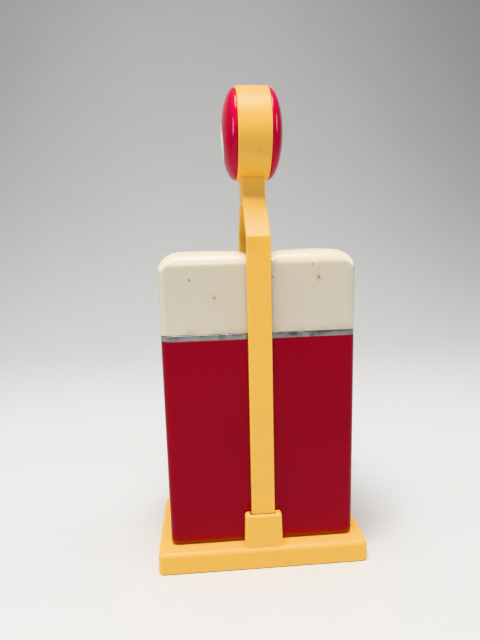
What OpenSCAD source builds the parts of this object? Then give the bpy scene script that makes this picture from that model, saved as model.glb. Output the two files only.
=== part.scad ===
// Table-top double gas pump: two pump-shaped shakers stand back to back on a tray,
// under a hoop that carries a round two-lens globe.
// Millimetres. +Z up, origin on the table under the tray's centre.
// +X runs along the row of pumps, so the globe's lenses and the dials face +X and -X.

/* [Tray] */
// Length of the tray along the row of pumps
tray_len = 72; // [70:1:90]
// Depth of the tray
tray_dep = 38; // [37:0.5:50]
// Height of the tray
tray_h = 7.5; // [6.5:0.5:12]
// Wall and top plate of the tray
tray_wall = 1.8; // [1.2:0.1:2.4]
// Radius of the tray's upright corners
tray_corner_r = 1.8; // [1.8:0.1:4]
// Radius along the tray's top edge
tray_edge_r = 1.5; // [0.8:0.1:1.7]
// Thickness of the ribs under the tray
rib_t = 1.2; // [0.8:0.1:2]

/* [Sockets] */
// Height of a socket above the tray
socket_h = 11.8; // [8:0.5:18]
// Width of a socket at its foot
socket_foot_w = 13.2; // [12:0.2:16]
// Width of a socket at its top
socket_top_w = 12.4; // [11.6:0.2:15]
// Wall of a socket outside the strap
socket_wall = 1.1; // [0.8:0.1:1.8]
// Radius on a socket's top edges
socket_edge_r = 0.9; // [0.4:0.1:1]

/* [Pumps] */
// Width of one pump along the row
pump_w = 31.6; // [26:0.5:32]
// Depth of one pump
pump_dep = 28.6; // [24:0.2:29]
// Height of the red body up to the bright band
body_h = 72; // [50:1:100]
// Height of the bright band
band_h = 1.9; // [1:0.1:4]
// Height of the cream cap above the band
cap_h = 26.1; // [18:0.5:40]
// Wall of the body
body_wall = 1.6; // [1.2:0.1:2.5]
// Wall of the cap
cap_wall = 1.4; // [1:0.1:2]
// Radius of the pump's upright edges
pump_edge_r = 2.4; // [2:0.1:3.2]
// Radius over the crown's ends, seen from the tray's long side
crown_end_r = 5.8; // [4.2:0.1:8]
// Radius along the crown's long edges
crown_side_r = 4.2; // [2.6:0.1:5]
// Radius along the bottom edge of the body
foot_r = 1.8; // [0.5:0.1:1.9]
// Air between the two pumps
pump_gap = 0.5; // [0.3:0.1:1]
// Height of the collar that the cap slides over, above the band
collar_h = 4.2; // [2:0.1:4.4]
// Thickness of the collar
collar_t = 1.1; // [0.8:0.1:1.4]

/* [Hoop] */
// Width of the strap at its foot
strap_foot_w = 7.9; // [7:0.1:9.5]
// Width of the strap at the globe
strap_top_w = 7.6; // [6.4:0.1:9]
// Thickness of the strap
strap_t = 2.4; // [2:0.1:3]
// Air between the strap and the pump's face
strap_gap = 0.45; // [0.3:0.05:1]
// Free height over the pumps before the strap bends inwards
headroom = 4.9; // [4.8:0.1:10]
// Lean of the arms from upright, in degrees
arm_lean = 43; // [36:1:50]
// Depth of the neck under the globe
neck_dep = 10.8; // [8:0.2:12]
// Radius of the sweep from the arms into the neck
neck_fillet_r = 8; // [5:0.5:10]
// Solid height of the neck below the globe
neck_solid = 8; // [6:0.5:12]

/* [Globe] */
// Outer radius of the globe's ring
ring_r = 14.8; // [12:0.1:18]
// Width of the ring
ring_w = 10.6; // [9:0.2:14]
// Wall of the ring
ring_wall = 1.8; // [1.4:0.1:2.2]
// Bevel on the ring's outer edges
ring_bevel = 0.4; // [0.2:0.1:0.8]
// Bulge of a lens beyond the ring
dome_h = 4.7; // [3:0.1:8]
// Thickness of a lens
lens_t = 1.3; // [0.9:0.1:1.6]
// Step from the ring's outside in to the lens
lens_step = 0.45; // [0.2:0.05:0.8]
// Length of a lens's skirt inside the ring
skirt_len = 2.5; // [1.5:0.1:3.5]
// Depth of the ring's stem in the neck
stem_len = 5; // [3:0.5:5.5]

/* [Dials] */
// Radius of a dial
dial_r = 8.2; // [5:0.1:9]
// Thickness of a dial
dial_t = 0.2; // [0.2:0.05:0.5]

/* [Screws] */
// Radius of a screw's shank
screw_r = 0.8; // [0.6:0.05:1]
// Radius of a screw's head
screw_head_r = 1.8; // [1.4:0.1:2.2]
// Length of a screw under its head
screw_len = 7; // [5:0.5:9]

/* [Hidden] */
slip = 0.05;            // clearance of pieces that slide or lift
snug = 0.1;             // clearance of pieces pushed together by hand
eps = 0.01;
arc_steps = 8;          // chords in a quarter of an edge round
hull_fn = 32;
round_fn = 96;

pump_x = pump_gap / 2 + pump_w / 2;          // centre of a pump
pump_z = tray_h + slip;                      // underside of a pump
band_z = pump_z + body_h;
cap_z = band_z + band_h + slip;
pump_top = cap_z + cap_h;

strap_in = pump_dep / 2 + strap_gap;         // inner face of the strap
strap_out = strap_in + strap_t;
bend_z = pump_top + headroom;
socket_top = tray_h + socket_h;
tang_z = tray_h - 4.5;                       // lower end of the strap

// The arm's sloped face meets the sweep at [sweep_y, sweep_z].
sweep_y = neck_dep / 2 + neck_fillet_r * (1 - cos(arm_lean));
sweep_z = bend_z + (strap_out - sweep_y) / tan(arm_lean);
neck_z = sweep_z + neck_fillet_r * sin(arm_lean);   // the neck is upright from here
ring_bottom = neck_z + 2.4;
globe_z = ring_bottom + ring_r;              // centre of the globe
crotch_z = ring_bottom - neck_solid;         // top of the space between the arms
// The inside of the bend lies lower, so that the arm is as thick as the strap.
inner_bend_z = bend_z - strap_t * tan(arm_lean / 2);
ring_in = ring_r - ring_wall;
lens_r = ring_r - lens_step;

plate_red = [0.62, 0.03, 0.10];
lens_red = [0.78, 0.05, 0.17];
yellow = [0.95, 0.72, 0.28];
cream = [0.90, 0.85, 0.73];
bright = [0.80, 0.81, 0.83];

// ---- shared shapes ----

// Quarter arc from angle a0 to a1 about [cx, cz].
function arc(cx, cz, r, a0, a1, steps = arc_steps) =
    [for (i = [0 : steps]) let (a = a0 + (a1 - a0) * i / steps) [cx + r * cos(a), cz + r * sin(a)]];

// The four corners of a w by d rectangle, r inside its sides.
module at_corners(w, d, r)
    for (sx = [-1, 1], sy = [-1, 1]) translate([sx * (w / 2 - r), sy * (d / 2 - r), 0]) children();

// Upright rectangular bar with round upright edges.
module bar(w, d, h, r) {
    translate([-w / 2 + r, -d / 2, 0]) cube([w - 2 * r, d, h]);
    translate([-w / 2, -d / 2 + r, 0]) cube([w, d - 2 * r, h]);
    at_corners(w, d, r) cylinder(r = r, h = h, $fn = round_fn);
}

// Rectangular block with round upright edges r and a rounded top edge e.
module block(w, d, h, r, e)
    hull() at_corners(w, d, r)
        rotate_extrude($fn = hull_fn) polygon(concat([[0, 0], [r, 0]], arc(r - e, h - e, e, 0, 90), [[0, h]]));

// Outline w wide and h high with two round top corners.
module arch(w, h, r) {
    translate([-w / 2, 0]) square([w, h - r]);
    translate([-w / 2 + r, 0]) square([w - 2 * r, h]);
    for (side = [-1, 1]) translate([side * (w / 2 - r), h - r]) circle(r = r, $fn = round_fn);
}

// Cap-shaped solid that lies n inside the cap: upright edges, ends and long sides are all round.
module crown(n)
    intersection() {
        inset_bar(n, cap_h);
        rotate([90, 0, 0]) linear_extrude(height = 2 * pump_dep, center = true)
            arch(pump_w - 2 * n, cap_h - n, crown_end_r - n);
        rotate([90, 0, 90]) linear_extrude(height = 2 * pump_w, center = true)
            arch(pump_dep - 2 * n, cap_h - n, crown_side_r - n);
    }

// Solid of revolution about the X axis from [x, radius] points.
module turned_about_x(points)
    rotate([0, 90, 0]) rotate_extrude($fn = round_fn) polygon([for (p = points) [p[1], p[0]]]);

// ---- stand ----

module socket_block()
    hull() {
        translate([-socket_foot_w / 2, strap_in - snug, tray_h - tray_wall])
            cube([socket_foot_w, strap_t + socket_wall + snug, tray_wall]);
        for (sx = [-1, 1], y = [strap_in - snug + socket_edge_r, strap_out + socket_wall - socket_edge_r])
            translate([sx * (socket_top_w / 2 - socket_edge_r), y, socket_top - socket_edge_r])
                sphere(r = socket_edge_r, $fn = hull_fn);
    }

// Box under the tray's top plate that grips the strap's end.
module tang_box()
    translate([-socket_foot_w / 2, strap_in - tray_wall, 0])
        cube([socket_foot_w, strap_t + 2 * tray_wall, tray_h - eps]);

module strap_slot()
    translate([-strap_foot_w / 2 - snug, strap_in - snug, tang_z - snug])
        cube([strap_foot_w + 2 * snug, strap_t + 2 * snug, socket_top]);

module screw_place() translate([0, strap_in + strap_t / 2, 0]) children();

module base_tray()
    color(yellow) difference() {
        union() {
            difference() {
                block(tray_len, tray_dep, tray_h, tray_corner_r, tray_edge_r);
                translate([0, 0, -eps])
                    bar(tray_len - 2 * tray_wall, tray_dep - 2 * tray_wall, tray_h - tray_wall + eps, tray_wall / 2);
            }
            for (x = [-1, 1] * tray_len / 4)
                translate([x - rib_t / 2, -tray_dep / 2 + tray_wall - eps, 1])
                    cube([rib_t, tray_dep - 2 * tray_wall + 2 * eps, tray_h - tray_wall]);
            translate([-tray_len / 2 + tray_wall - eps, -rib_t / 2, 1])
                cube([tray_len - 2 * tray_wall + 2 * eps, rib_t, tray_h - tray_wall]);
            for (side = [0, 180]) rotate(side) {
                socket_block();
                intersection() {
                    tang_box();
                    translate([-tray_len / 2, -tray_dep / 2 + 1, 1]) cube([tray_len, tray_dep - 2, tray_h]);
                }
            }
        }
        for (side = [0, 180]) rotate(side) {
            strap_slot();
            screw_place() translate([0, 0, -eps]) cylinder(r = screw_head_r + snug, h = 2 + eps, $fn = round_fn);
            screw_place() cylinder(r = screw_r + snug, h = tang_z, $fn = round_fn);
        }
    }

// One side of the hoop's outline, seen along X: y outwards, z up.
hoop_half = concat(
    [[strap_in - (crotch_z - inner_bend_z) * tan(arm_lean), crotch_z], [strap_in, inner_bend_z],
     [strap_in, tang_z], [strap_out, tang_z], [strap_out, bend_z]],
    arc(neck_dep / 2 + neck_fillet_r, neck_z, neck_fillet_r, 180 + arm_lean, 180),
    [[neck_dep / 2, globe_z]]);
function mirrored(points) = [for (i = [len(points) - 1 : -1 : 0]) [-points[i][0], points[i][1]]];

module hoop_frame()
    color(yellow) difference() {
        intersection() {
            rotate([90, 0, 90]) linear_extrude(height = 2 * strap_foot_w, center = true)
                polygon(concat(hoop_half, mirrored(hoop_half)));
            rotate([90, 0, 0]) linear_extrude(height = tray_dep * 2, center = true)
                polygon([[-strap_foot_w / 2, 0], [strap_foot_w / 2, 0], [strap_foot_w / 2, socket_top],
                         [strap_top_w / 2, bend_z], [strap_top_w / 2, globe_z],
                         [-strap_top_w / 2, globe_z], [-strap_top_w / 2, bend_z],
                         [-strap_foot_w / 2, socket_top]]);
        }
        translate([0, 0, globe_z]) rotate([0, 90, 0])
            cylinder(r = ring_r + slip, h = 2 * strap_foot_w, center = true, $fn = round_fn);
        stem(snug);
        for (side = [0, 180]) rotate(side) screw_place()
            cylinder(r = screw_r, h = 2 + screw_len, $fn = round_fn);
    }

module foot_screws()
    color(bright) for (side = [0, 180]) rotate(side) screw_place() translate([0, 0, 2]) {
        difference() {
            translate([0, 0, -1.1]) cylinder(r = screw_head_r, h = 1.1, $fn = round_fn);
            for (a = [0, 90]) rotate(a) translate([-1.2, -0.2, -1.1 - eps]) cube([2.4, 0.4, 0.6]);
        }
        cylinder(r = screw_r - eps, h = screw_len - 0.8, $fn = round_fn);
        translate([0, 0, screw_len - 0.8]) cylinder(r1 = screw_r - eps, r2 = 0.2, h = 0.8, $fn = round_fn);
    }

// ---- globe ----

// The ring's stem, or with a clearance the pocket for it.
module stem(grow = 0)
    translate([-1.8 - grow, -2.4 - grow, ring_bottom - stem_len - grow])
        cube([3.6 + 2 * grow, 4.8 + 2 * grow, stem_len + ring_wall / 2 + grow]);

module globe_ring()
    color(yellow) {
        translate([0, 0, globe_z]) turned_about_x([
            [-ring_w / 2, ring_in], [-ring_w / 2, ring_r - ring_bevel], [-ring_w / 2 + ring_bevel, ring_r],
            [ring_w / 2 - ring_bevel, ring_r], [ring_w / 2, ring_r - ring_bevel], [ring_w / 2, ring_in],
            [ring_w / 2 - skirt_len - snug, ring_in], [ring_w / 2 - skirt_len - snug, ring_in - 0.8],
            [-ring_w / 2 + skirt_len + snug, ring_in - 0.8], [-ring_w / 2 + skirt_len + snug, ring_in]]);
        stem();
    }

// Domed cover with a skirt that pushes into the ring; it bulges towards +X.
module lens()
    color(lens_red) translate([ring_w / 2, 0, globe_z]) turned_about_x(concat(
        [[-skirt_len, ring_in - snug - 1.1], [-skirt_len, ring_in - snug], [slip, ring_in - snug], [slip, lens_r]],
        [for (i = [0 : 20]) let (a = 90 * i / 20) [slip + 0.5 + (dome_h - 0.5) * sin(a), lens_r * cos(a)]],
        [for (i = [20 : -1 : 0]) let (a = 90 * i / 20)
            [slip + 0.5 + (dome_h - 0.5 - lens_t) * sin(a), (ring_in - snug - 1.1) * cos(a)]]));

// ---- pumps ----

// Body: an open box on a low foot rim, with a collar for the cap.
module pump_body()
    color(plate_red) translate([pump_x, 0, pump_z]) difference() {
        union() {
            translate([0, 0, body_h]) mirror([0, 0, 1])
                block(pump_w, pump_dep, body_h, pump_edge_r, foot_r);
            inset_bar(cap_wall + snug, body_h + band_h + collar_h);
        }
        translate([0, 0, 0.8 + body_wall]) inset_bar(cap_wall + snug + collar_t, body_h + band_h + collar_h);
        translate([0, 0, -eps]) inset_bar(2.4, 0.8 + eps);
    }

// A bar that lies n inside the pump's faces.
module inset_bar(n, h) bar(pump_w - 2 * n, pump_dep - 2 * n, h, pump_edge_r - min(n, pump_edge_r - 0.6));

// Bright ring that sits on the body's shoulder round the collar.
module bright_band()
    color(bright) translate([pump_x, 0, band_z]) difference() {
        inset_bar(slip, band_h);
        translate([0, 0, -eps]) inset_bar(cap_wall, band_h + 2 * eps);
    }

// Cap with its sifter holes: a ring of holes round a middle one.
module cap(holes)
    color(cream) translate([pump_x, 0, cap_z]) difference() {
        crown(0);
        translate([0, 0, -eps]) inset_bar(cap_wall, collar_h + 1 + eps);
        crown(cap_wall);
        translate([0, 0, cap_h - 2 * cap_wall]) {
            cylinder(r = 0.8, h = 3 * cap_wall, $fn = round_fn);
            for (i = [1 : holes]) rotate(360 * i / holes) translate([4, 0, 0])
                cylinder(r = 0.8, h = 3 * cap_wall, $fn = round_fn);
        }
    }

// Printed dial on the outward face of a cap.
module dial()
    color("ivory") translate([pump_x + pump_w / 2, 0, cap_z + (cap_h - crown_end_r) / 2 + 0.2])
        rotate([0, 90, 0]) cylinder(r = dial_r, h = dial_t, $fn = round_fn);

// The left pump is the right one turned round.
module left() rotate(180) children();

base_tray();
hoop_frame();
foot_screws();
globe_ring();
left() lens();  // left_lens
lens();  // right_lens
left() pump_body();  // left_pump_body
left() bright_band();  // left_bright_band
left() cap(6);  // left_cap
left() dial();  // left_dial
pump_body();  // right_pump_body
bright_band();  // right_bright_band
cap(3);  // right_cap
dial();  // right_dial
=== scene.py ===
"""Table-top gas pump set: the visible pieces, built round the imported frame."""

import math

import bmesh
import bpy
from bpy.props import FloatProperty, FloatVectorProperty, IntProperty, PointerProperty
from mathutils import Matrix, Vector


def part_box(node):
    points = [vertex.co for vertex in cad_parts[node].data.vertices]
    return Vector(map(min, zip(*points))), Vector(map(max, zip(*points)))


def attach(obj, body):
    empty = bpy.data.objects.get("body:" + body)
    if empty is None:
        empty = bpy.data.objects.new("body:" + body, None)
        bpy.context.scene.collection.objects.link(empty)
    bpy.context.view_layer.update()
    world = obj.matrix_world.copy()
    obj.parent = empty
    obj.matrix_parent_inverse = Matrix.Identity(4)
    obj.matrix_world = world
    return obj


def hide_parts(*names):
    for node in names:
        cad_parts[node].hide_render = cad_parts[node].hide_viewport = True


bl_info = {
    "name": "Table-Top Gas Pump Set",
    "version": (1, 0, 0),
    "blender": (4, 5, 0),
    "location": "View3D > Sidebar > Gas Pump",
    "description": "Two pump-shaped shakers on a tray under a hoop with a globe sign",
    "category": "Object",
}

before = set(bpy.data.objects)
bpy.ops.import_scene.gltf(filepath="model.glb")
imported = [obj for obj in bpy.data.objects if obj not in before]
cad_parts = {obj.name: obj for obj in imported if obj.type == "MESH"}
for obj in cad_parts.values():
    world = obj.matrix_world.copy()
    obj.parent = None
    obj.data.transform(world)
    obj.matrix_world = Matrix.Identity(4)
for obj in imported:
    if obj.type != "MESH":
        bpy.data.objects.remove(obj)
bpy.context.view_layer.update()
MM = 0.001
SIDES = {"left": -1, "right": 1}


# ---- places, read from the frame ----


def low(node):
    """Lowest corner of a node at rest."""
    return Vector(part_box(node)[0])


def high(node):
    """Highest corner of a node at rest."""
    return Vector(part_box(node)[1])


def size(node):
    """Width, depth and height of a node."""
    return high(node) - low(node)


def middle(node):
    """Middle of a node's box."""
    return (high(node) + low(node)) / 2


PUMP = size("right_pump_body")
RING = size("globe_ring")
TRAY = size("base_tray")
GLOBE_MIDDLE = Vector((0, 0, middle("right_lens").z))


# ---- settings ----


class TraySettings(bpy.types.PropertyGroup):
    height: FloatProperty(name="Height", description="Height of the tray", default=7.5 * MM,
                          unit="LENGTH")
    corner: FloatProperty(name="Corner", description="Radius of the upright corners",
                          default=1.8 * MM, unit="LENGTH")
    edge: FloatProperty(name="Edge", description="Radius along the top edge", default=1.5 * MM,
                        unit="LENGTH")
    wall: FloatProperty(name="Wall", description="Wall of the tray", default=1.8 * MM,
                        unit="LENGTH")
    rib: FloatProperty(name="Rib", description="Thickness of the ribs below", default=1.2 * MM,
                       unit="LENGTH")
    socket_foot: FloatProperty(name="Socket foot", description="Width of a socket at its foot",
                               default=13.2 * MM, unit="LENGTH")
    socket_top: FloatProperty(name="Socket top", description="Width of a socket at its top",
                              default=12.4 * MM, unit="LENGTH")
    socket_edge: FloatProperty(name="Socket edge", description="Radius of a socket's edges",
                               default=0.9 * MM, unit="LENGTH")
    socket_wall: FloatProperty(name="Socket wall", description="Wall outside the strap",
                               default=1.1 * MM, unit="LENGTH")


class HoopSettings(bpy.types.PropertyGroup):
    foot_width: FloatProperty(name="Foot width", description="Width of the strap at its foot",
                              default=size("hoop_frame").x, unit="LENGTH")
    top_width: FloatProperty(name="Top width", description="Width of the strap at the globe",
                             default=7.6 * MM, unit="LENGTH")
    thickness: FloatProperty(name="Thickness", description="Thickness of the strap",
                             default=2.4 * MM, unit="LENGTH")
    headroom: FloatProperty(name="Headroom",
                            description="Height over the caps before the strap bends",
                            default=4.9 * MM, unit="LENGTH")
    lean: FloatProperty(name="Lean", description="Lean of the arms from upright",
                        default=math.radians(43), subtype="ANGLE")
    neck: FloatProperty(name="Neck", description="Depth of the neck under the globe",
                        default=10.8 * MM, unit="LENGTH")
    sweep: FloatProperty(name="Sweep", description="Radius from the arms into the neck",
                         default=8 * MM, unit="LENGTH")
    edge: FloatProperty(name="Edge", description="Rounding of the strap's edges",
                        default=0.45 * MM, unit="LENGTH")


class GlobeSettings(bpy.types.PropertyGroup):
    ring_wall: FloatProperty(name="Ring wall", description="Wall of the ring", default=1.8 * MM,
                             unit="LENGTH")
    ring_edge: FloatProperty(name="Ring edge", description="Rounding of the ring's rims",
                             default=0.45 * MM, unit="LENGTH")
    dome: FloatProperty(name="Dome", description="Bulge of a lens beyond the ring",
                        default=4.7 * MM, unit="LENGTH")
    lens_wall: FloatProperty(name="Lens wall", description="Thickness of a lens", default=1.3 * MM,
                             unit="LENGTH")
    skirt: FloatProperty(name="Skirt", description="Length of a lens's skirt inside the ring",
                         default=2.5 * MM, unit="LENGTH")
    turns: IntProperty(name="Turns", description="Faces round the globe", default=128)


class PumpSettings(bpy.types.PropertyGroup):
    body_height: FloatProperty(name="Body height", description="Height of the body up to the band",
                               default=low("right_bright_band").z - low("right_pump_body").z,
                               unit="LENGTH")
    body_wall: FloatProperty(name="Body wall", description="Wall of the body", default=1.6 * MM,
                             unit="LENGTH")
    cap_wall: FloatProperty(name="Cap wall", description="Wall of the cap", default=1.4 * MM,
                            unit="LENGTH")
    upright: FloatProperty(name="Upright edge", description="Radius of the upright edges",
                           default=2.4 * MM, unit="LENGTH")
    foot: FloatProperty(name="Foot edge", description="Radius along the bottom edge",
                        default=1.8 * MM, unit="LENGTH")
    crown_end: FloatProperty(name="Crown end", description="Radius over the crown's ends",
                             default=5.8 * MM, unit="LENGTH")
    crown_side: FloatProperty(name="Crown side", description="Radius along the crown's long edges",
                              default=4.2 * MM, unit="LENGTH")
    crown_corner: FloatProperty(name="Crown corner",
                                description="Radius of the corners of the flat top, from above",
                                default=6.2 * MM, unit="LENGTH")
    collar: FloatProperty(name="Collar", description="Thickness of the collar under the cap",
                          default=1.1 * MM, unit="LENGTH")
    hole: FloatProperty(name="Hole", description="Radius of a sprinkle hole", default=0.8 * MM,
                        unit="LENGTH")
    hole_ring: FloatProperty(name="Hole ring", description="Radius of the ring of sprinkle holes",
                             default=4 * MM, unit="LENGTH")
    left_holes: IntProperty(name="Left holes", description="Holes in the ring on the left cap",
                            default=6)
    right_holes: IntProperty(name="Right holes", description="Holes in the ring on the right cap",
                             default=3)
    dial_edge: FloatProperty(name="Dial edge", description="Rounding of the dial's rim",
                             default=0.08 * MM, unit="LENGTH")


class FinishSettings(bpy.types.PropertyGroup):
    yellow: FloatVectorProperty(name="Yellow", description="Colour of the stand", subtype="COLOR",
                                default=(0.90, 0.53, 0.115))
    red: FloatVectorProperty(name="Red", description="Colour of the bodies", subtype="COLOR",
                             default=(0.265, 0.0015, 0.012))
    cream: FloatVectorProperty(name="Cream", description="Colour of the caps", subtype="COLOR",
                               default=(0.61, 0.55, 0.45))
    # The foil's colour is kept dark as a painted reflection of dark surroundings.
    bright: FloatVectorProperty(name="Bright", description="Colour of the foil bands",
                                subtype="COLOR",
                                default=(0.37, 0.355, 0.35))
    lens: FloatVectorProperty(name="Lens", description="Colour of the lenses", subtype="COLOR",
                              default=(0.50, 0.004, 0.040))
    print_pale: FloatVectorProperty(name="Print", description="Colour of the pale print",
                                    subtype="COLOR",
                                    default=(0.82, 0.78, 0.76))
    dial: FloatVectorProperty(name="Dial", description="Colour of the dials' ground",
                              subtype="COLOR",
                              default=(0.74, 0.70, 0.60))
    ink: FloatVectorProperty(name="Ink", description="Colour of the dials' marks", subtype="COLOR",
                             default=(0.035, 0.03, 0.03))
    steel: FloatVectorProperty(name="Steel", description="Colour of the screws", subtype="COLOR",
                               default=(0.56, 0.56, 0.57))


class StageSettings(bpy.types.PropertyGroup):
    place: FloatVectorProperty(name="Camera", description="Place of the camera", subtype="XYZ",
                               default=(-0.0174, -0.1680, 0.1124))
    pitch: FloatProperty(name="Pitch", description="How far the camera looks down",
                         default=0.1697, subtype="ANGLE")
    yaw: FloatProperty(name="Yaw", description="How far the camera looks to the right",
                       default=0.0728, subtype="ANGLE")
    roll: FloatProperty(name="Roll", description="Turn of the camera about its view",
                        default=-0.0248, subtype="ANGLE")
    lens: FloatProperty(name="Lens", description="Focal length for a 36 mm sensor, in millimetres",
                        default=27.3)
    floor: FloatVectorProperty(name="Floor", description="Colour of the floor", subtype="COLOR",
                               default=(0.46, 0.455, 0.445))


GROUPS = {"pump_tray": TraySettings, "pump_hoop": HoopSettings, "pump_globe": GlobeSettings,
          "pump_case": PumpSettings, "pump_finish": FinishSettings, "pump_stage": StageSettings}


# ---- shader maths ----


class Signal:
    """An output socket that takes part in Python sums."""

    def __init__(self, finish, socket):
        self.finish = finish
        self.socket = socket

    def maths(self, operation, *values):
        inputs = dict(enumerate((self,) + values))
        return self.finish.node("ShaderNodeMath", {"operation": operation}, inputs)

    def __add__(self, other):
        return self.maths("ADD", other)

    __radd__ = __add__

    def __mul__(self, other):
        return self.maths("MULTIPLY", other)

    __rmul__ = __mul__

    def __sub__(self, other):
        return self.maths("SUBTRACT", other)

    def __rsub__(self, other):
        return (self * -1) + other

    def __truediv__(self, other):
        return self.maths("DIVIDE", other)

    def __pow__(self, other):
        return self.maths("POWER", other)

    def __abs__(self):
        return self.maths("ABSOLUTE")

    def fold(self, period):
        """Distance to the nearest multiple of period."""
        return self.maths("PINGPONG", period)

    def larger(self, other):
        return self.maths("MAXIMUM", other)

    def step(self, start, end):
        """0 before start, 1 after end, smooth between; end may be the smaller one."""
        rising = start < end
        inputs = {"Value": self, "From Min": min(start, end), "From Max": max(start, end),
                  "To Min": 0.0 if rising else 1.0, "To Max": 1.0 if rising else 0.0}
        return self.finish.node("ShaderNodeMapRange", {"interpolation_type": "SMOOTHSTEP"}, inputs)


class Finish:
    """One material; every node of its tree comes from node()."""

    # A Mix node's sockets for colours; their names aren't unique.
    FACTOR, FIRST, SECOND, MIXED = 0, 6, 7, 2

    def __init__(self, name):
        self.material = bpy.data.materials.new(name)
        self.material.use_nodes = True
        self.tree = self.material.node_tree
        self.tree.nodes.clear()
        self.place = self.node("ShaderNodeTexCoord", output="Object")

    def node(self, kind, settings=None, inputs=None, output=0):
        """Makes a node from its type, settings and sockets; gives one output, if it has any."""
        made = self.tree.nodes.new(kind)
        for name, value in (settings or {}).items():
            setattr(made, name, value)
        for key, value in (inputs or {}).items():
            if isinstance(value, Signal):
                self.tree.links.new(value.socket, made.inputs[key])
            else:
                made.inputs[key].default_value = value
        return Signal(self, made.outputs[output]) if made.outputs else None

    def flattened(self, share):
        """The place with its height scaled by share, which draws a pattern out upwards."""
        inputs = {"Vector": self.place, "Scale": (1, 1, share)}
        return self.node("ShaderNodeMapping", inputs=inputs)

    def streaked(self, turn, stretch):
        """The place, turned first and then drawn out along the turned axes."""
        return self.node("ShaderNodeMapping", {"vector_type": "TEXTURE"},
                         {"Vector": self.place, "Rotation": turn, "Scale": stretch})

    def noise(self, scale, detail=3.0, place=None):
        """Soft random cloud, 0 to 1."""
        inputs = {"Vector": place or self.place, "Scale": scale, "Detail": detail}
        return self.node("ShaderNodeTexNoise", inputs=inputs)

    def cells(self, scale, output="Distance"):
        """Scattered cells: the distance to the nearest one's middle, or its own random Color."""
        inputs = {"Vector": self.place, "Scale": scale}
        return self.node("ShaderNodeTexVoronoi", inputs=inputs, output=output)

    def xyz(self, vector=None):
        """The three components of a vector, or of the place."""
        made = self.node("ShaderNodeSeparateXYZ", inputs={0: vector or self.place})
        return [Signal(self, out) for out in made.socket.node.outputs]

    def mix(self, factor, first, second):
        """Colour between first, where factor is 0, and second."""
        inputs = {self.FACTOR: factor}
        for index, colour in ((self.FIRST, first), (self.SECOND, second)):
            inputs[index] = colour if isinstance(colour, Signal) else (*colour[:3], 1.0)
        return self.node("ShaderNodeMix", {"data_type": "RGBA"}, inputs, output=self.MIXED)

    def bump(self, height, distance, under=None):
        """Normal that follows a height of 0 to 1 over a distance in metres."""
        inputs = {"Height": height, "Distance": distance, "Strength": 1.0}
        if under:
            inputs["Normal"] = under
        return self.node("ShaderNodeBump", inputs=inputs)

    def close(self, **sockets):
        """Ends the tree in a Principled shader; a keyword's underscores stand for spaces."""
        inputs = {key.replace("_", " "): value for key, value in sockets.items()}
        shader = self.node("ShaderNodeBsdfPrincipled", inputs=inputs)
        self.node("ShaderNodeOutputMaterial", inputs={"Surface": shader})
        return self.material


def tint(colour, factor):
    """A colour made lighter or darker."""
    return tuple(min(1.0, channel * factor) for channel in colour[:3])


def scratches(finish, scale):
    """Long fine lines in two slanting directions, in patches, 0 to 1."""
    slants = ((0.35, 0.50, 0.0), (-0.60, -0.95, 0.0))
    length = 40.0
    half_width = 0.010
    lines = []
    for slant in slants:
        ridge = finish.noise(scale, 1.0, finish.streaked(slant, (1.0, 1.0, length)))
        lines.append(abs(ridge - 0.5).step(half_width, 0.0))
    return lines[0].larger(lines[1]) * finish.noise(42.0).step(0.56, 0.72)


# ---- materials ----

# A pattern's scale counts its clouds or cells along a metre, and a bump's distance is in metres.
PLASTIC_IOR = 1.5

# Colours of dirt and wear, and of the foil's wear with its painted dark reflection
GRIME = (0.42, 0.20, 0.035)
DUST = (0.50, 0.16, 0.15)
STAIN = (0.44, 0.31, 0.17)
SPECK = (0.20, 0.12, 0.05)
SPECK_HALO = (0.62, 0.30, 0.07)
SMALL_DOT = (0.28, 0.20, 0.12)
FOIL_WEAR_AND_DARK_REFLECTION = (0.10, 0.11, 0.12)


def yellow_plastic(finishes):
    """Warm yellow moulded plastic, handled for years."""
    finish = Finish("yellow_plastic")
    cloud = finish.noise(26.0)
    colour = finish.mix(cloud, tint(finishes.yellow, 0.93), tint(finishes.yellow, 1.05))
    grime = finish.noise(140.0, 4.0).step(0.60, 0.78) * 0.22
    colour = finish.mix(grime, colour, GRIME)
    marks = scratches(finish, 420.0)
    colour = finish.mix(marks * 0.25, colour, tint(finishes.yellow, 1.12))
    rough = 0.34 + finish.noise(90.0) * 0.12 + marks * 0.15
    skin = finish.bump(finish.noise(1500.0, 2.0), 0.000006)
    waves = finish.bump(finish.noise(70.0, 1.0), 0.00006, skin)
    normal = finish.bump(marks, -0.000003, waves)
    return finish.close(Base_Color=colour, Roughness=rough, Normal=normal, IOR=PLASTIC_IOR,
                        Specular_IOR_Level=0.38, Subsurface_Weight=0.12,
                        Subsurface_Radius=(0.9, 0.45, 0.12), Subsurface_Scale=1.2 * MM)


def red_plastic(finishes):
    """Deep red glossy plastic with a faint ripple and fine wipe marks."""
    finish = Finish("red_plastic")
    cloud = finish.noise(30.0, 2.0)
    colour = finish.mix(cloud, tint(finishes.red, 0.88), tint(finishes.red, 1.14))
    dust = finish.cells(520.0).step(0.13, 0.04) * finish.noise(60.0, 2.0).step(0.54, 0.62)
    colour = finish.mix(dust * 0.35, colour, DUST)
    marks = scratches(finish, 380.0)
    rough = 0.16 + finish.noise(46.0, 4.0).step(0.40, 0.75) * 0.10 + marks * 0.14
    ripple = finish.bump(finish.noise(62.0, 1.5, finish.flattened(0.45)), 0.00010)
    normal = finish.bump(marks, -0.000002, ripple)
    return finish.close(Base_Color=colour, Roughness=rough, Normal=normal, IOR=PLASTIC_IOR,
                        Specular_IOR_Level=0.3)


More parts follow.
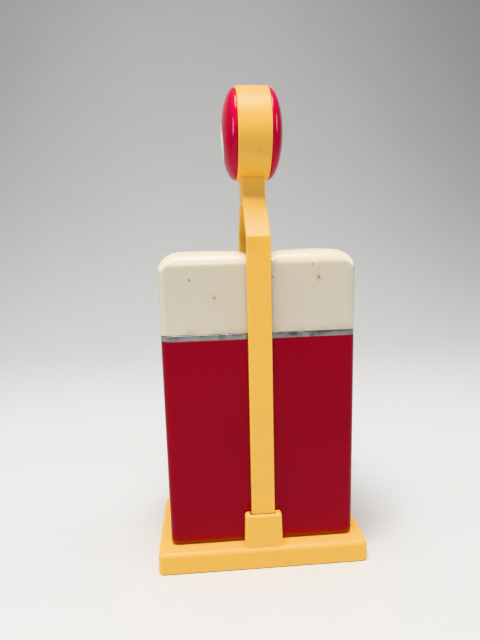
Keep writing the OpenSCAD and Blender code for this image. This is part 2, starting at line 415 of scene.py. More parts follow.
def cream_plastic(finishes):
    """Aged cream plastic with brown specks and a warmer bottom edge."""
    finish = Finish("cream_plastic")
    cloud = finish.noise(24.0)
    colour = finish.mix(cloud, tint(finishes.cream, 0.94), tint(finishes.cream, 1.05))
    height = finish.xyz()[2]
    bottom = low("right_cap").z
    stain = height.step(bottom + 3.0 * MM, bottom) * finish.noise(160.0).step(0.42, 0.70)
    colour = finish.mix(stain * 0.4, colour, STAIN)
    speck_scale, dot_scale = 150.0, 430.0
    from_speck = finish.cells(speck_scale)
    chosen = finish.xyz(finish.cells(speck_scale, "Color"))[0]
    big = chosen.step(0.86, 0.88)
    specks = from_speck.step(0.075, 0.03) * chosen.step(0.48, 0.50)
    specks = specks.larger(from_speck.step(0.13, 0.06) * big)
    halo = from_speck.step(0.30, 0.08) * big * finish.noise(700.0, 2.0).step(0.42, 0.60)
    dot_chosen = finish.xyz(finish.cells(dot_scale, "Color"))[1]
    dots = finish.cells(dot_scale).step(0.12, 0.05) * dot_chosen.step(0.84, 0.86)
    colour = finish.mix(halo * 0.45, colour, SPECK_HALO)
    colour = finish.mix(specks * 0.75, colour, SPECK)
    colour = finish.mix(dots * 0.5, colour, SMALL_DOT)
    marks = scratches(finish, 400.0)
    rough = 0.20 + finish.noise(70.0) * 0.10 + marks * 0.12 + specks * 0.3
    waves = finish.bump(finish.noise(58.0, 1.0), 0.00007)
    normal = finish.bump(specks, -0.00003, waves)
    return finish.close(Base_Color=colour, Roughness=rough, Normal=normal, IOR=PLASTIC_IOR,
                        Coat_Weight=0.25, Coat_Roughness=0.1, Subsurface_Weight=0.08,
                        Subsurface_Radius=(0.8, 0.6, 0.4), Subsurface_Scale=1 * MM)


def bright_foil(finishes):
    """Bright foil pressed on a plastic ring: creased, and worn grey in places, with its colour and
    dark patches also a painted reflection of dark surroundings.
    """
    finish = Finish("bright_foil")
    # Patches of worn foil, painted darker also as a dark reflection of the surroundings.
    worn = finish.noise(210.0, 4.0, finish.flattened(0.3)).step(0.48, 0.72)
    colour = finish.mix(worn * 0.75, finishes.bright, FOIL_WEAR_AND_DARK_REFLECTION)
    rough = 0.10 + worn * 0.30 + finish.noise(600.0, 2.0) * 0.10
    ripples = finish.noise(900.0, 2.0, finish.flattened(0.12))
    pillows = finish.bump(finish.noise(150.0, 2.0, finish.flattened(0.6)), 0.00060)
    normal = finish.bump(ripples, 0.00004, pillows)
    return finish.close(Base_Color=colour, Roughness=rough, Normal=normal, Metallic=1.0)


def lens_plastic(finishes):
    """Glossy red lens with a plain pale drop printed on it."""
    finish = Finish("lens_red")
    _, y, z = finish.xyz()
    up = z - GLOBE_MIDDLE.z
    tip, drop_middle, drop_radius, slope = 8.5 * MM, -2.5 * MM, 5.5 * MM, 0.5915
    from_middle = (y * y + (up - drop_middle) ** 2.0) ** 0.5
    round_end = from_middle.step(drop_radius + 0.15 * MM, drop_radius)
    point = (abs(y) - (tip - up) * slope).step(0.08 * MM, -0.08 * MM)
    drop = round_end.larger(point * up.step(0.25 * MM, 0.45 * MM))
    worn = finish.noise(900.0).step(0.80, 0.70)
    cloud = finish.noise(60.0, 2.0)
    colour = finish.mix(cloud, tint(finishes.lens, 0.85), tint(finishes.lens, 1.12))
    colour = finish.mix(drop * worn, colour, finishes.print_pale)
    marks = scratches(finish, 420.0)
    rough = 0.12 + finish.noise(80.0) * 0.08 + marks * 0.2
    normal = finish.bump(marks, -0.000005, finish.bump(finish.noise(70.0, 1.0), 0.00004))
    return finish.close(Base_Color=colour, Roughness=rough, Normal=normal, IOR=PLASTIC_IOR,
                        Specular_IOR_Level=0.35)


def dial_print(finishes):
    """Printed film: a pale dial with a rim line and plain ticks, and no figures."""
    finish = Finish("dial_print")
    _, y, z = finish.xyz()
    up = z - middle("right_dial").z
    radius = (y * y + up * up) ** 0.5
    angle = up.maths("ARCTAN2", y)
    out = radius / (size("right_dial").y / 2)
    inside_rim = out.step(0.86, 0.84)
    short = (angle.fold(math.pi / 12) * radius).step(0.24 * MM, 0.14 * MM) * out.step(0.70, 0.72)
    long = (angle.fold(math.pi / 4) * radius).step(0.38 * MM, 0.26 * MM) * out.step(0.58, 0.60)
    ticks = short.larger(long) * inside_rim
    rim = abs(out - 0.92).step(0.035, 0.02)
    hub = out.step(0.14, 0.12)
    hand = (abs(y + up * 0.6) * 0.86).step(0.42 * MM, 0.30 * MM) * out.step(0.60, 0.56)
    hand = hand * up.step(0.0, 0.1 * MM)
    ground = finish.mix(finish.noise(90.0), tint(finishes.dial, 0.93), tint(finishes.dial, 1.04))
    colour = finish.mix(ticks, ground, finishes.ink)
    colour = finish.mix(rim.larger(hand).larger(hub), colour, tint(finishes.red, 1.3))
    rough = 0.42 + finish.noise(150.0) * 0.14
    return finish.close(Base_Color=colour, Roughness=rough,
                        Normal=finish.bump(finish.noise(1200.0, 2.0), 0.000008))


def screw_steel(finishes):
    """Plain turned steel."""
    finish = Finish("screw_steel")
    cloud = finish.noise(700.0)
    colour = finish.mix(cloud, tint(finishes.steel, 0.75), finishes.steel)
    rough = 0.28 + cloud * 0.2
    return finish.close(Base_Color=colour, Roughness=rough, Metallic=1.0,
                        Normal=finish.bump(finish.noise(2500.0, 2.0), 0.00001))


def floor_paper(colour):
    """Pale matt studio floor."""
    finish = Finish("floor_paper")
    cloud = finish.noise(6.0)
    shade = finish.mix(cloud, tint(colour, 0.97), tint(colour, 1.03))
    return finish.close(Base_Color=shade, Roughness=0.62,
                        Normal=finish.bump(finish.noise(900.0), 0.00002))


FINISHES = {"yellow_plastic": yellow_plastic, "red_plastic": red_plastic,
            "cream_plastic": cream_plastic, "bright_foil": bright_foil, "lens_red": lens_plastic,
            "dial_print": dial_print, "screw_steel": screw_steel}


def material(slot):
    """The slot's material, made when it is first asked for."""
    found = bpy.data.materials.get(slot)
    ready = found and found.use_nodes and found.get("finished")
    if not ready:
        if found:
            found.name = slot + "_packed"
        found = FINISHES[slot](bpy.context.scene.pump_finish)
        found["finished"] = True
    return found


# ---- mesh work ----


def of_kind(kind, made):
    """The vertices or faces in what an operator gives back."""
    return [item for item in made["geom"] if isinstance(item, kind)]


def bevelled(bm, geom, offset, segments, affect="EDGES", clamp=False):
    """Rounds edges, or the corners of a flat face."""
    bmesh.ops.bevel(bm, geom=geom, offset=offset, offset_type="OFFSET", affect=affect,
                    segments=segments, profile=0.5, material=-1, clamp_overlap=clamp)


def rounded_sheet(bm, width, depth, z, radius, segments):
    """A flat face with round corners about the Z axis at height z, in an empty bmesh."""
    made = bmesh.ops.create_grid(bm, x_segments=1, y_segments=1, size=0.5)
    bmesh.ops.scale(bm, vec=(width, depth, 1), verts=made["verts"])
    bmesh.ops.translate(bm, vec=(0, 0, z), verts=made["verts"])
    bevelled(bm, made["verts"], radius, segments, "VERTICES")
    return bm.faces[:][0]


def loft(bm, levels, radius, segments):
    """Closed solid through rounded rectangles of (width, depth, z) or (width, depth, z, corner).

    The widest one has corners of the radius given, and the others are parallel to it
    unless they bring a corner of their own. The bmesh has to be empty.
    """
    half = max(level[0] for level in levels) / 2
    smallest = 0.3 * MM
    levels = [level if len(level) > 3 else (*level, max(smallest, radius - half + level[0] / 2))
              for level in levels]
    face = start = rounded_sheet(bm, *levels[0], segments)
    for old, new in zip(levels, levels[1:]):
        made = bmesh.ops.extrude_face_region(bm, geom=[face])
        if face is not start:
            bmesh.ops.delete(bm, geom=[face], context="FACES_ONLY")
        face = of_kind(bmesh.types.BMFace, made)[0]
        reshaped(bm, face, old, new)


def reshaped(bm, face, old, new):
    """Moves a rounded rectangle from one (width, depth, z, corner) to another."""
    old_width, old_depth, old_z, old_corner = old
    width, depth, z, corner = new
    for vert in face.verts:
        x, y = vert.co.x, vert.co.y
        angle = math.atan2(abs(y) - old_depth / 2 + old_corner,
                           abs(x) - old_width / 2 + old_corner)
        to_x = math.copysign(width / 2 - corner * (1 - math.cos(angle)), x)
        to_y = math.copysign(depth / 2 - corner * (1 - math.sin(angle)), y)
        bmesh.ops.translate(bm, vec=(to_x - x, to_y - y, z - old_z), verts=[vert])


def grown(width, depth, z, by):
    """A level that lies by further out on every side."""
    return (width + 2 * by, depth + 2 * by, z)


def quarter(steps):
    """Angles of a quarter turn, both ends included."""
    return [math.pi / 2 * index / steps for index in range(steps + 1)]


def round_levels(width, depth, start, radius, up, steps, outwards=False):
    """Levels over a rounded edge whose wall ends at height start; up is 1 or -1.

    The edge turns inwards, over the top of a solid, unless outwards is asked for.
    """
    levels = []
    for angle in quarter(steps):
        if outwards:
            rise, by = radius * (1 - math.cos(angle)), radius * math.sin(angle)
        else:
            rise, by = radius * math.sin(angle), -radius * (1 - math.cos(angle))
        levels.append(grown(width, depth, start + up * rise, by))
    return levels


def crown_levels(width, depth, top, end_radius, side_radius, corners, steps):
    """Levels over a crown whose ends and long edges have radii of their own.

    Its corners, seen from above, go from the first radius at the wall to the second at the top.
    """
    levels = []
    for angle in quarter(steps):
        z = top - end_radius * (1 - math.sin(angle))
        over = max(0.0, z - top + side_radius)
        side_inset = side_radius - math.sqrt(max(0.0, side_radius ** 2 - over ** 2))
        end_inset = end_radius * (1 - math.cos(angle))
        share = max(0.0, 1 - (top - z) / end_radius) ** 2
        corner = corners[0] + (corners[1] - corners[0]) * share
        levels.append((width - 2 * end_inset, depth - 2 * side_inset, z, corner))
    return levels


def block(bm, low_corner, high_corner):
    """A box between two corners; returns its vertices."""
    low_corner, high_corner = Vector(low_corner), Vector(high_corner)
    made = bmesh.ops.create_cube(bm, size=1)
    bmesh.ops.scale(bm, vec=high_corner - low_corner, verts=made["verts"])
    bmesh.ops.translate(bm, vec=(low_corner + high_corner) / 2, verts=made["verts"])
    return made["verts"]


def pin(radius, length, place):
    """An upright cylinder about a place, to cut a hole with."""
    bm = bmesh.new()
    bmesh.ops.create_cone(bm, cap_ends=True, segments=32, radius1=radius, radius2=radius,
                          depth=length, matrix=Matrix.Translation(place))
    return bm


def soften(bm, width, degrees, segments, only=None):
    """Rounds the edges that turn by more than some degrees, or only those that pass a test."""
    limit = math.radians(degrees)
    sharp = [edge for edge in bm.edges if len(edge.link_faces) == 2
             and edge.calc_face_angle() > limit and (only is None or only(edge))]
    bevelled(bm, sharp, width, segments, clamp=True)


def turned(bm, profile, turns):
    """Spins (x, radius) points about the X axis; the first and last may lie on it."""
    points = [bmesh.ops.create_vert(bm, co=(x, 0, radius))["vert"][0] for x, radius in profile]
    edges = [bm.edges.new(pair) for pair in zip(points, points[1:])]
    bmesh.ops.spin(bm, geom=points + edges, cent=(0, 0, 0), axis=(1, 0, 0), angle=2 * math.pi,
                   steps=turns, use_merge=True)
    bmesh.ops.remove_doubles(bm, verts=bm.verts, dist=0.001 * MM)
    loose = [edge for edge in bm.edges if not edge.link_faces]
    bmesh.ops.delete(bm, geom=loose, context="EDGES")


def arc(x, radius, bend, start, end, steps):
    """Points of a profile along an arc about (x, radius), angles in degrees from +X."""
    angles = [math.radians(start + (end - start) * index / steps) for index in range(steps + 1)]
    return [(x + bend * math.cos(angle), radius + bend * math.sin(angle)) for angle in angles]


def placed(bm, move, turn=0.0):
    """Turns the mesh about Z and moves it."""
    if turn:
        bmesh.ops.rotate(bm, cent=(0, 0, 0), matrix=Matrix.Rotation(turn, 3, "Z"), verts=bm.verts)
    bmesh.ops.translate(bm, vec=move, verts=bm.verts)


def closed(bm):
    """Merges doubles and turns every face outwards."""
    bmesh.ops.remove_doubles(bm, verts=bm.verts, dist=0.0001 * MM)
    bmesh.ops.recalc_face_normals(bm, faces=bm.faces)


def mesh_object(bm, name):
    """A shown object from a bmesh."""
    mesh = bpy.data.meshes.new(name)
    bm.to_mesh(mesh)
    bm.free()
    made = bpy.data.objects.new(name, mesh)
    bpy.context.scene.collection.objects.link(made)
    return made


def carve(bm, cutters):
    """Cuts closed shapes out of a bmesh; returns a new bmesh."""
    carved = mesh_object(bm, "carved")
    for index, cutter in enumerate(cutters):
        cut = carved.modifiers.new("cut", "BOOLEAN")
        cut.solver = "EXACT"
        cut.object = mesh_object(cutter, f"cutter_{index}")
    bpy.context.view_layer.update()
    result = bmesh.new()
    result.from_object(carved, bpy.context.evaluated_depsgraph_get())
    for item in [carved] + [modifier.object for modifier in carved.modifiers]:
        bpy.data.objects.remove(item, do_unlink=True)
    return result


def piece(bm, name, nodes, body, slot, crease=40):
    """Finishes a bmesh as a shown piece that stands for CAD nodes; crease is in degrees."""
    made = mesh_object(bm, name)
    made.data.materials.append(material(slot))
    made.data.shade_smooth()
    made.data.set_sharp_from_angle(angle=math.radians(crease))
    weighted = made.modifiers.new("weighted_normals", "WEIGHTED_NORMAL")
    weighted.keep_sharp = True
    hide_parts(*nodes)
    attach(made, body)
    return made


# ---- pieces ----


class GASPUMP_OT_tray(bpy.types.Operator):
    """Tray with its two sockets, hollow and ribbed below"""

    bl_idname = "gaspump.tray"
    bl_label = "Tray"

    def execute(self, context):
        tray = context.scene.pump_tray
        hoop = context.scene.pump_hoop
        width, depth = TRAY.x, TRAY.y
        inner = (width - 2 * tray.wall, depth - 2 * tray.wall)
        lip = 0.3 * MM
        levels = [(*inner, tray.height - tray.wall), (*inner, lip)]
        levels += round_levels(*inner, lip, lip, -1, 3, outwards=True)[1:]
        levels += [grown(width, depth, 0.0, -lip), (width, depth, lip)]
        levels += round_levels(width, depth, tray.height - tray.edge, tray.edge, 1, 8)
        bm = bmesh.new()
        loft(bm, levels, tray.corner, 8)
        closed(bm)
        self.ribs(bm, tray, width, depth)
        outer = high("hoop_frame").y
        inner = outer - hoop.thickness
        for turn in (0, math.pi):
            self.add(bm, self.socket(tray, hoop.foot_width, inner, outer), turn)
            self.add(bm, self.grip(tray, inner, outer), turn)
        piece(bm, "tray_moulding", ["base_tray"], "stand", "yellow_plastic")
        return {"FINISHED"}

    def ribs(self, bm, tray, width, depth):
        """Two cross ribs and one shallower long rib under the top plate."""
        into_wall = tray.wall / 2
        half = tray.rib / 2
        cross_foot, long_foot = 1.0 * MM, 1.1 * MM
        roof = tray.height - tray.wall / 2
        end_x, end_y = width / 2 - into_wall, depth / 2 - into_wall
        for x in (-width / 4, width / 4):
            block(bm, (x - half, -end_y, cross_foot), (x + half, end_y, roof))
        block(bm, (-end_x, -half, long_foot), (end_x, half, roof))

    def socket(self, tray, strap_width, inner, outer):
        """The far socket on top of the tray, with its channel for the strap."""
        top = high("base_tray").z
        play = 0.1 * MM
        past = 1 * MM
        half_foot = tray.socket_foot / 2
        bm = bmesh.new()
        verts = block(bm, (-half_foot, inner - play, tray.height - tray.wall),
                      (half_foot, outer + tray.socket_wall, top))
        upper = [vert for vert in verts if vert.co.z > top - past]
        bmesh.ops.scale(bm, vec=(tray.socket_top / tray.socket_foot, 1, 1), verts=upper)
        rounded = [edge for edge in bm.edges if any(vert in upper for vert in edge.verts)]
        bevelled(bm, rounded, tray.socket_edge, 6)
        channel = bmesh.new()
        half = strap_width / 2 + play
        block(channel, (-half, inner - past, tray.height - tray.wall / 2),
              (half, outer + play, top + past))
        bm = carve(bm, [channel])
        soften(bm, 0.22 * MM, 40, 2)
        closed(bm)
        return bm

    def grip(self, tray, inner, outer):
        """The box below the far socket that grips the strap's end, with its screw hole."""
        half_foot = tray.socket_foot / 2
        bm = bmesh.new()
        block(bm, (-half_foot, inner - tray.wall, 1 * MM),
              (half_foot, outer + tray.wall / 2, tray.height - tray.wall / 2))
        screw_radius, screw_length = 1.9 * MM, 4 * MM
        bm = carve(bm, [pin(screw_radius, screw_length, (0, (inner + outer) / 2, 0))])
        soften(bm, 0.15 * MM, 50, 2)
        closed(bm)
        return bm

    def add(self, bm, part, turn):
        """Adds a turned part's mesh to the tray's."""
        placed(part, (0, 0, 0), turn)
        mesh = bpy.data.meshes.new("part")
        part.to_mesh(mesh)
        part.free()
        bm.from_mesh(mesh)
        bpy.data.meshes.remove(mesh)


class GASPUMP_OT_hoop(bpy.types.Operator):
    """Hoop: two straps that bend inwards over the pumps and join in the neck"""

    bl_idname = "gaspump.hoop"
    bl_label = "Hoop"

    def execute(self, context):
        hoop = context.scene.pump_hoop
        bend = high("right_cap").z + hoop.headroom
        bm = bmesh.new()
        self.outline(bm, hoop, bend)
        made = bmesh.ops.extrude_face_region(bm, geom=bm.faces[:])
        across = of_kind(bmesh.types.BMVert, made)
        bmesh.ops.translate(bm, vec=(hoop.foot_width, 0, 0), verts=across)
        self.taper(bm, hoop, high("base_tray").z, bend)
        closed(bm)
        soften(bm, hoop.edge, 60, 4)
        near = 0.3 * MM
        soften(bm, 0.2 * MM, 28, 2,
               lambda edge: all(abs(vert.co.z - bend) < near for vert in edge.verts))
        piece(bm, "hoop_moulding", ["hoop_frame"], "stand", "yellow_plastic", 50)
        return {"FINISHED"}

    def outline(self, bm, hoop, bend):
        """The hoop's flat outline, seen along the row, with its corners rounded."""
        outer = high("hoop_frame").y
        inner = outer - hoop.thickness
        foot = low("hoop_frame").z
        slope = math.tan(hoop.lean)
        half_lean = math.tan(hoop.lean / 2)
        inner_bend = bend - hoop.thickness * half_lean
        ring_bottom = GLOBE_MIDDLE.z - RING.y / 2
        neck_length, into_ring = 8 * MM, 1.2 * MM
        crotch = ring_bottom - neck_length
        crotch_y = inner - (crotch - inner_bend) * slope
        neck = hoop.neck / 2
        neck_corner = bend + (outer - neck) / slope
        half = [(crotch_y, crotch), (inner, inner_bend), (inner, foot), (outer, foot),
                (outer, bend), (neck, neck_corner), (neck, ring_bottom + into_ring)]
        corners = half + [(-y, z) for y, z in reversed(half)]
        x = -hoop.foot_width / 2
        bm.faces.new([bmesh.ops.create_vert(bm, co=(x, y, z))["vert"][0] for y, z in corners])
        crotch_reach, bend_reach = 1.6 * MM, 0.8 * MM
        self.round_corner(bm, neck, neck_corner, hoop.sweep * half_lean, 14)
        self.round_corner(bm, crotch_y, crotch, crotch_reach, 5)
        self.round_corner(bm, inner, inner_bend, bend_reach, 3)

    def taper(self, bm, hoop, start, end):
        """Narrows the strap from its foot's width at height start to its top's at end."""
        for level in (start, end):
            bmesh.ops.bisect_plane(bm, geom=bm.verts[:] + bm.edges[:] + bm.faces[:],
                                   dist=0.001 * MM, plane_co=(0, 0, level), plane_no=(0, 0, 1))
        for vert in bm.verts:
            share = min(1.0, max(0.0, (vert.co.z - start) / (end - start)))
            width = 1 + (hoop.top_width / hoop.foot_width - 1) * share
            bmesh.ops.scale(bm, vec=(width, 1, 1), verts=[vert])

    def round_corner(self, bm, y, z, reach, segments):
        """Rounds the outline's corner at (y, z) and its mirror image, from reach before it."""
        near = 0.001 * MM
        corners = [vert for vert in bm.verts
                   if abs(abs(vert.co.y) - y) < near and abs(vert.co.z - z) < near]
        bevelled(bm, corners, reach, segments, "VERTICES")


class GASPUMP_OT_screws(bpy.types.Operator):
    """Finish of the two screws that hold the hoop from below"""

    bl_idname = "gaspump.screws"
    bl_label = "Screws"

    def execute(self, context):
        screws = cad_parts["foot_screws"]
        screws.data.materials.clear()
        screws.data.materials.append(material("screw_steel"))
        return {"FINISHED"}


class GASPUMP_OT_globe_ring(bpy.types.Operator):
    """Ring of the globe with its inner web and stem"""

    bl_idname = "gaspump.globe_ring"
    bl_label = "Globe ring"

    def execute(self, context):
        globe = context.scene.pump_globe
        half = RING.x / 2
        outer = RING.y / 2
        inner = outer - globe.ring_wall
        edge = globe.ring_edge
        inside_edge = 0.2 * MM
        web_height = 0.8 * MM
        web = half - globe.skirt - 0.1 * MM
        right = [(web, inner - web_height), (web, inner), (half - inside_edge, inner)]
        right += arc(half - inside_edge, inner + inside_edge, inside_edge, -90, 0, 3)
        right += arc(half - edge, outer - edge, edge, 0, 90, 6)
        profile = right + [(-x, radius) for x, radius in reversed(right)]
        profile.append(profile[0])
        bm = bmesh.new()
        turned(bm, profile, globe.turns)
        placed(bm, GLOBE_MIDDLE)
        stem = Vector((1.8, 2.4, 0)) * MM
        stem_foot = Vector((0, 0, low("globe_ring").z))
        stem_height = Vector((0, 0, 5.9)) * MM
        block(bm, stem_foot - stem, stem_foot + stem + stem_height)
        closed(bm)
        piece(bm, "globe_ring_moulding", ["globe_ring"], "stand", "yellow_plastic", 50)
        return {"FINISHED"}


class GASPUMP_OT_lenses(bpy.types.Operator):
    """The two domed lenses"""

    bl_idname = "gaspump.lenses"
    bl_label = "Lenses"

    def execute(self, context):
        globe = context.scene.pump_globe
        radius = size("right_lens").y / 2
        play, skirt_wall = 0.1 * MM, 1.1 * MM
        skirt_out = RING.y / 2 - globe.ring_wall - play
        skirt_in = skirt_out - skirt_wall
        seat = 0.05 * MM
        rim = 0.35 * MM
        bulge = globe.dome - rim
        flatness = 1.12
        angles = quarter(24)
        profile = [(-globe.skirt, skirt_in), (-globe.skirt, skirt_out), (seat, skirt_out),
                   (seat, radius)]
        profile += [(seat + rim + bulge * math.sin(angle) ** flatness, radius * math.cos(angle))
                    for angle in angles]
        profile += [(seat + rim + (bulge - globe.lens_wall) * math.sin(angle),
                     skirt_in * math.cos(angle)) for angle in reversed(angles)]
        profile.append(profile[0])
        for side, sign in SIDES.items():
            bm = bmesh.new()
            turned(bm, profile, globe.turns)
            placed(bm, (RING.x / 2, 0, 0))
            if sign < 0:
                placed(bm, (0, 0, 0), math.pi)
            placed(bm, GLOBE_MIDDLE)
            closed(bm)
            soften(bm, 0.12 * MM, 60, 2)
            piece(bm, f"{side}_lens_shell", [f"{side}_lens"], "stand", "lens_red", 50)
        return {"FINISHED"}


class GASPUMP_OT_pump_bodies(bpy.types.Operator):
    """The two hollow bodies with the collars that the caps slide over"""

    bl_idname = "gaspump.pump_bodies"
    bl_label = "Pump bodies"

    def execute(self, context):
        case = context.scene.pump_case
        width, depth, height = PUMP
        shoulder = case.body_height
        play = 0.1 * MM
        collar_in = case.cap_wall + play
        bore_in = collar_in + case.collar
        small = 0.3 * MM
        sole, hollow = 2.4 * MM, 0.8 * MM
        bore = grown(width, depth, 0, -bore_in)[:2]
        collar = grown(width, depth, 0, -collar_in)[:2]
        levels = [(*bore, hollow + case.body_wall), (*bore, height - small)]
        levels += round_levels(*bore, height - small, small, 1, 3, outwards=True)[1:]
        levels += [grown(*collar, height, -small)]
        levels += round_levels(*collar, height - small, small, 1, 3)[::-1][1:]
        levels += [(*collar, shoulder)]
        levels += round_levels(width, depth, shoulder - small, small, 1, 3)[::-1]
        levels += round_levels(width, depth, case.foot, case.foot, -1, 8)
        levels += [grown(width, depth, 0, -sole), grown(width, depth, hollow, -sole)]
        for side, sign in SIDES.items():
            bm = bmesh.new()
            loft(bm, levels, case.upright, 10)
            closed(bm)
            placed(bm, (sign * middle("right_pump_body").x, 0, low("right_pump_body").z))
            piece(bm, f"{side}_pump_shell", [f"{side}_pump_body"], f"{side}_pump",
                  "red_plastic")
        return {"FINISHED"}


class GASPUMP_OT_bands(bpy.types.Operator):
    """The two bright bands between body and cap"""

    bl_idname = "gaspump.bands"
    bl_label = "Bright bands"

    def execute(self, context):
        case = context.scene.pump_case
        width, depth, height = size("right_bright_band")
        overlap = 0.05 * MM
        inner = grown(width, depth, 0, overlap - case.cap_wall)[:2]
        small = 0.18 * MM
        levels = [(*inner, 0), (*inner, height), grown(width, depth, height, -small)]
        levels += round_levels(width, depth, height - small, small, 1, 3)[::-1][1:]
        levels += round_levels(width, depth, small, small, -1, 3)
        levels += [(*inner, 0)]
        for side, sign in SIDES.items():
            bm = bmesh.new()
            loft(bm, levels, case.upright, 10)
            ends = [face for face in bm.faces if len(face.verts) > 4]
            bmesh.ops.delete(bm, geom=ends, context="FACES_ONLY")
            closed(bm)
            placed(bm, (sign * middle("right_bright_band").x, 0, low("right_bright_band").z))
            piece(bm, f"{side}_band_ring", [f"{side}_bright_band"], f"{side}_pump",
                  "bright_foil")
        return {"FINISHED"}


class GASPUMP_OT_caps(bpy.types.Operator):
    """The two hollow caps with their sprinkle holes"""

    bl_idname = "gaspump.caps"
    bl_label = "Caps"

    def execute(self, context):
        case = context.scene.pump_case
        width, depth, height = size("right_cap")
        wall = case.cap_wall
        small = 0.25 * MM
        inner = grown(width, depth, 0, -wall)[:2]
        inside = crown_levels(*inner, height - wall, case.crown_end - wall, case.crown_side - wall,
                              (case.upright - wall, case.crown_corner - wall), 10)
        levels = inside[::-1] + [(*inner, small)]
        levels += round_levels(*inner, small, small, -1, 3, outwards=True)[1:]
        levels += round_levels(width, depth, small, small, -1, 3)[::-1]
        levels += crown_levels(width, depth, height, case.crown_end, case.crown_side,
                               (case.upright, case.crown_corner), 18)
        for side, sign in SIDES.items():
            bm = bmesh.new()
            loft(bm, levels, case.upright, 10)
            closed(bm)
            count = case.left_holes if sign < 0 else case.right_holes
            bm = carve(bm, self.holes(case, height, count))
            soften(bm, 0.14 * MM, 50, 2, lambda edge: edge.verts[0].co.z > height - MM)
            turn = math.pi if sign < 0 else 0
            placed(bm, (sign * middle("right_cap").x, 0, low("right_cap").z), turn)
            piece(bm, f"{side}_cap_shell", [f"{side}_cap"], f"{side}_cap", "cream_plastic")
        return {"FINISHED"}

    def holes(self, case, height, count):
        """One cutter for each sprinkle hole: a middle one and a ring of count."""
        spots = [Vector((0, 0, height))]
        for index in range(count):
            turn = Matrix.Rotation(2 * math.pi * index / count, 3, "Z")
            spots.append(turn @ Vector((case.hole_ring, 0, 0)) + spots[0])
        through = 6 * MM
        return [pin(case.hole, through, spot) for spot in spots]


class GASPUMP_OT_dials(bpy.types.Operator):
    """The printed dials on the outward ends of the caps"""

    bl_idname = "gaspump.dials"
    bl_label = "Dials"

    def execute(self, context):
        edge = context.scene.pump_case.dial_edge
        thick, across, _ = size("right_dial")
        radius = across / 2
        profile = [(0, 0), (0, radius)]
        profile += arc(thick - edge, radius - edge, edge, 90, 0, 3) + [(thick, 0)]
        for side, sign in SIDES.items():
            bm = bmesh.new()
            turned(bm, profile, 96)
            if sign < 0:
                placed(bm, (0, 0, 0), math.pi)
            placed(bm, (sign * low("right_dial").x, 0, middle("right_dial").z))
            closed(bm)
            piece(bm, f"{side}_dial_film", [f"{side}_dial"], f"{side}_cap", "dial_print", 50)
        return {"FINISHED"}


# Place, width in metres and power in watts of each light, and the middle they aim at
LIGHTS = {"key_light": ((-0.06, -0.16, 0.85), 0.45, 14.0),
          "front_light": ((-0.15, -0.75, 0.45), 0.35, 1.1),
          "left_light": ((-0.75, -0.10, 0.30), 0.30, 1.6),
          "right_light": ((0.70, -0.05, 0.35), 0.30, 1.6)}
LIT_MIDDLE = Vector((0, 0, 0.07))
SKY = (0.80, 0.83, 0.87, 1)
SKY_STRENGTH = 0.24


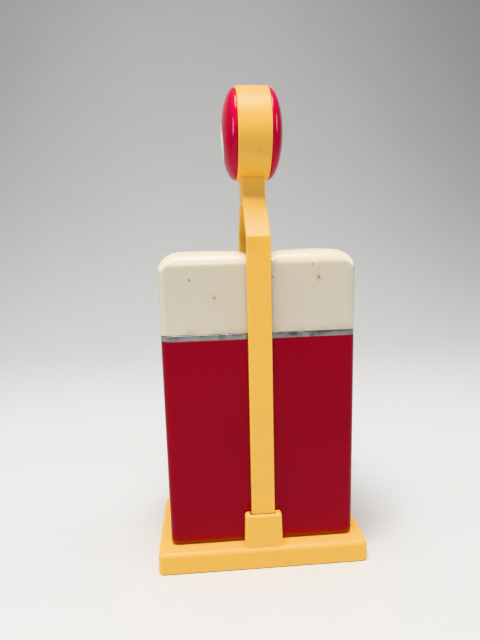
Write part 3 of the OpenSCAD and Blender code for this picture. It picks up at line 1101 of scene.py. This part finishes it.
class GASPUMP_OT_stage(bpy.types.Operator):
    """Floor, soft lights and the camera"""

    bl_idname = "gaspump.stage"
    bl_label = "Stage"

    def execute(self, context):
        stage = context.scene.pump_stage
        self.floor(stage)
        for name, (place, across, power) in LIGHTS.items():
            self.light(name, place, across, power)
        world = bpy.data.worlds.new("studio")
        world.use_nodes = True
        background = world.node_tree.nodes["Background"]
        background.inputs["Color"].default_value = SKY
        background.inputs["Strength"].default_value = SKY_STRENGTH
        context.scene.world = world
        context.scene.view_settings.view_transform = "Khronos PBR Neutral"
        self.camera(stage)
        return {"FINISHED"}

    def floor(self, stage):
        """A sheet that rises in a wide curve behind the object."""
        reach, behind, curve = 1.5, 0.9, 0.6
        bm = bmesh.new()
        made = bmesh.ops.create_grid(bm, x_segments=1, y_segments=2, size=reach)
        far = [vert for vert in made["verts"] if vert.co.y > reach / 2]
        bmesh.ops.translate(bm, vec=(0, -reach, reach), verts=far)
        bmesh.ops.translate(bm, vec=(0, behind, 0), verts=bm.verts)
        fold = [edge for edge in bm.edges if len(edge.link_faces) == 2]
        bevelled(bm, fold, curve, 24)
        floor = mesh_object(bm, "floor")
        floor.data.shade_smooth()
        floor.data.materials.append(floor_paper(stage.floor))

    def light(self, name, place, across, power):
        """A square soft light aimed at the object's middle."""
        data = bpy.data.lights.new(name, "AREA")
        data.size = across
        data.energy = power
        made = bpy.data.objects.new(name, data)
        turn = (LIT_MIDDLE - Vector(place)).to_track_quat("-Z", "Y")
        made.matrix_world = Matrix.Translation(place) @ turn.to_matrix().to_4x4()
        bpy.context.scene.collection.objects.link(made)

    def camera(self, stage):
        """A phone-like wide view from just left of the middle."""
        data = bpy.data.cameras.new("view")
        data.sensor_width = 36
        data.lens = stage.lens
        data.clip_start = 0.01
        made = bpy.data.objects.new("view", data)
        made.matrix_world = (Matrix.Translation(stage.place)
                             @ Matrix.Rotation(-stage.yaw, 4, "Z")
                             @ Matrix.Rotation(math.pi / 2 - stage.pitch, 4, "X")
                             @ Matrix.Rotation(stage.roll, 4, "Z"))
        bpy.context.scene.collection.objects.link(made)
        bpy.context.scene.camera = made


OPERATORS = [GASPUMP_OT_stage, GASPUMP_OT_tray, GASPUMP_OT_hoop, GASPUMP_OT_screws,
             GASPUMP_OT_globe_ring, GASPUMP_OT_lenses, GASPUMP_OT_pump_bodies, GASPUMP_OT_bands,
             GASPUMP_OT_caps, GASPUMP_OT_dials]


class GASPUMP_PT_pieces(bpy.types.Panel):
    """Lists the pieces in the sidebar"""

    bl_idname = "GASPUMP_PT_pieces"
    bl_label = "Gas Pump"
    bl_space_type = "VIEW_3D"
    bl_region_type = "UI"
    bl_category = "Gas Pump"

    def draw(self, context):
        for operator in OPERATORS:
            self.layout.operator(operator.bl_idname)


def register():
    for name, group in GROUPS.items():
        bpy.utils.register_class(group)
        setattr(bpy.types.Scene, name, PointerProperty(type=group))
    for operator in OPERATORS:
        bpy.utils.register_class(operator)
    bpy.utils.register_class(GASPUMP_PT_pieces)


def unregister():
    bpy.utils.unregister_class(GASPUMP_PT_pieces)
    for operator in reversed(OPERATORS):
        bpy.utils.unregister_class(operator)
    for name, group in reversed(GROUPS.items()):
        delattr(bpy.types.Scene, name)
        bpy.utils.unregister_class(group)


def main():
    register()
    for operator in OPERATORS:
        group, name = operator.bl_idname.split(".")
        getattr(getattr(bpy.ops, group), name)()


if __name__ == "__main__":
    main()
